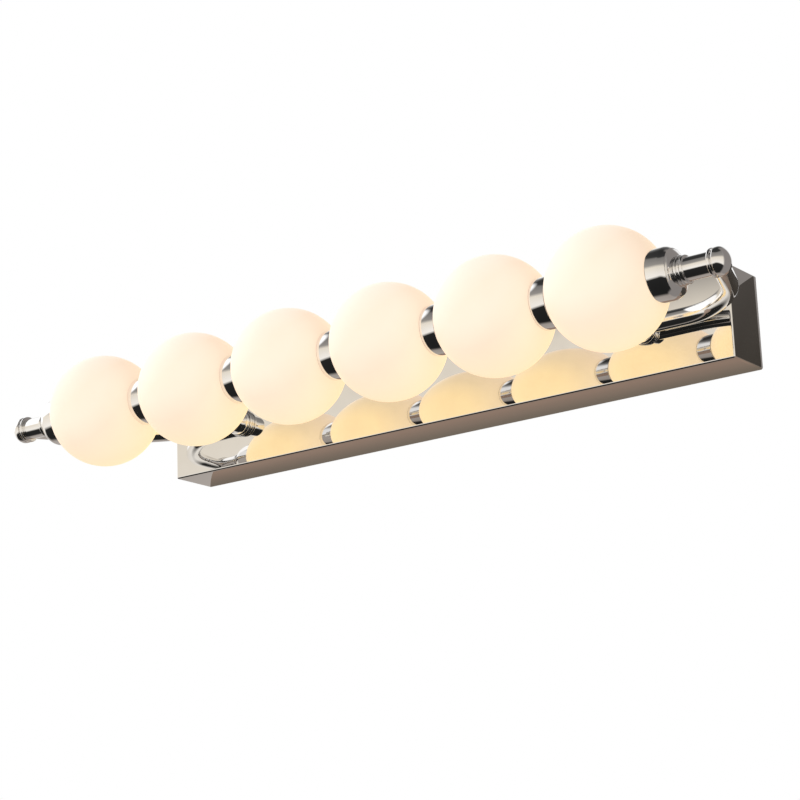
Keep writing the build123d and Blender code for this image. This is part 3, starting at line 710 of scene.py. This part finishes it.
# Heights run from 0 straight down to 1 straight up. The room side has a black floor, a broad white
# wall and a darker ceiling. The wall side is grey-brown below and white above, and dim on the right.
UP, WALL_WAY, RIGHT, SOFTBOX_WAY = (0, 0, 1), (0, 1, 0), (1, 0, 0), (-0.85, -0.1, 0.5)
DIM_CORNER, LEFT_SOFTBOX = (0.26, 0.24, 0.23, 1), (1.3, 1.3, 1.3, 1)
ROOM_SIDE = (
    (0.0, 0.015), (0.29, 0.02), (0.36, (1.0, 0.96, 0.90)), (0.66, (0.86, 0.79, 0.68)),
    (0.74, (0.33, 0.31, 0.29)), (0.90, (0.22, 0.21, 0.20)), (0.93, 0.04), (1.0, 0.03),
)
WALL_SIDE = (
    (0.0, (0.36, 0.32, 0.29)), (0.3, (0.44, 0.40, 0.37)), (0.47, (0.44, 0.40, 0.37)),
    (0.55, 1.0), (0.8, 1.0), (0.9, 0.15), (1.0, 0.05),
)
room_side, wall_side = (colour_ramp(sky, across(UP), stops) for stops in (ROOM_SIDE, WALL_SIDE))
dim = combine(sky, "MULTIPLY", mask(RIGHT, 0.50, 0.62), mask(WALL_WAY, 0.50, 0.65))
surroundings = over(sky, room_side, wall_side, mask(WALL_WAY, 0.55, 0.70))
surroundings = over(sky, surroundings, DIM_CORNER, dim)
surroundings = over(sky, surroundings, LEFT_SOFTBOX, mask(SOFTBOX_WAY, 0.93, 0.96))
studio = fill(sky, sky.nodes.new("ShaderNodeBackground"), {"Color": surroundings, "Strength": 1.0})
choose = fill(sky, sky.nodes.new("ShaderNodeMixShader"), {
    0: sky.nodes.new("ShaderNodeLightPath").outputs["Is Camera Ray"],
    1: studio.outputs["Background"], 2: plain.outputs["Background"],
})
fill(sky, sky.nodes["World Output"], {"Surface": choose.outputs["Shader"]})


# ================= lamps =================

def softbox(name, place, size, power):
    """Large soft lamp that points at the bar and doesn't show in reflections."""
    data = bpy.data.lights.new(name, "AREA")
    data.shape = "RECTANGLE"
    data.size, data.size_y = size
    data.energy = power
    lamp = bpy.data.objects.new(name, data)
    lamp.location = place
    lamp.rotation_euler = (bar_centre - Vector(place)).to_track_quat("-Z", "Y").to_euler()
    lamp.visible_glossy = False
    bpy.context.scene.collection.objects.link(lamp)


softbox("key_light", (-1.4, -2.2, 1.8), (1.2, 0.8), 18)
softbox("fill_light", (2.2, -1.6, 0.3), (0.5, 1.6), 8)


# ================= shaded wall beside and below the backplate =================
WALL_GAP, EDGE_GAP = 0.001, 0.002       # in front of the wall, and from the backplate's end
SHADOW_WIDTH, SHADOW_DROP = 0.12, 0.10
FADE_DEPTH = 0.022                      # how far below the backplate its shadow turns paler


def wall_shadow(name, corners, low, high, low_tone, high_tone):
    """Patch of shaded wall that only reflections see, toned from its low to its high level."""
    material, tree, shader, coords = node_material(name)
    level = spread(tree, separate(tree, coords)["Z"], 0.3, 0.7, low, high)
    fill(tree, shader, {
        "Base Color": BLACK, "Emission Color": blend_colour(tree, level, low_tone, high_tone),
        "Emission Strength": 1.0,
    })
    bm = bmesh.new()
    bm.faces.new([bm.verts.new((x, WALL_GAP, z)) for x, z in corners])
    patch = scenery(name, bm, material)
    patch.visible_camera = False
    patch.visible_diffuse = False
    patch.visible_shadow = False


beside = plate_high.x + EDGE_GAP
beyond = beside + SHADOW_WIDTH
under = plate_low.z - 0.0005
wall_shadow(
    "shadow_beside",
    [(beside, plate_low.z), (beyond, plate_low.z), (beyond, plate_high.z - 0.015),
     (beside + 0.033, plate_high.z - 0.004), (beside, plate_high.z + 0.001)],
    plate_low.z, plate_high.z, (0.024, 0.019, 0.015), (0.050, 0.043, 0.039),
)
wall_shadow(
    "shadow_below",
    [(plate_low.x, plate_low.z - SHADOW_DROP), (beyond, plate_low.z - SHADOW_DROP),
     (beyond, under), (plate_low.x, under)],
    plate_low.z - FADE_DEPTH, plate_low.z, (0.28, 0.195, 0.15), (0.14, 0.115, 0.09),
)


# ================= camera, at the photo's angle =================
CAMERA_PLACE = (1.1763, -1.7648, -0.5787)
CAMERA_YAW, CAMERA_PITCH, CAMERA_ROLL = -0.615, 0.263, -0.041
CAMERA_LENS, CAMERA_SENSOR = 109.4, 36.0
camera_data = bpy.data.cameras.new("camera")
camera_data.sensor_width = CAMERA_SENSOR
camera_data.lens = CAMERA_LENS
camera = bpy.data.objects.new("camera", camera_data)
bpy.context.scene.collection.objects.link(camera)
bpy.context.scene.camera = camera
forward = Vector((
    math.sin(CAMERA_YAW) * math.cos(CAMERA_PITCH),
    math.cos(CAMERA_YAW) * math.cos(CAMERA_PITCH),
    math.sin(CAMERA_PITCH),
))
level = Vector((math.cos(CAMERA_YAW), -math.sin(CAMERA_YAW), 0))
top = level.cross(forward)
right = level * math.cos(CAMERA_ROLL) + top * math.sin(CAMERA_ROLL)
up = top * math.cos(CAMERA_ROLL) - level * math.sin(CAMERA_ROLL)
turned = Matrix((right, up, -forward)).transposed().to_4x4()
camera.matrix_world = Matrix.Translation(CAMERA_PLACE) @ turned
bpy.context.scene.view_settings.view_transform = "Standard"
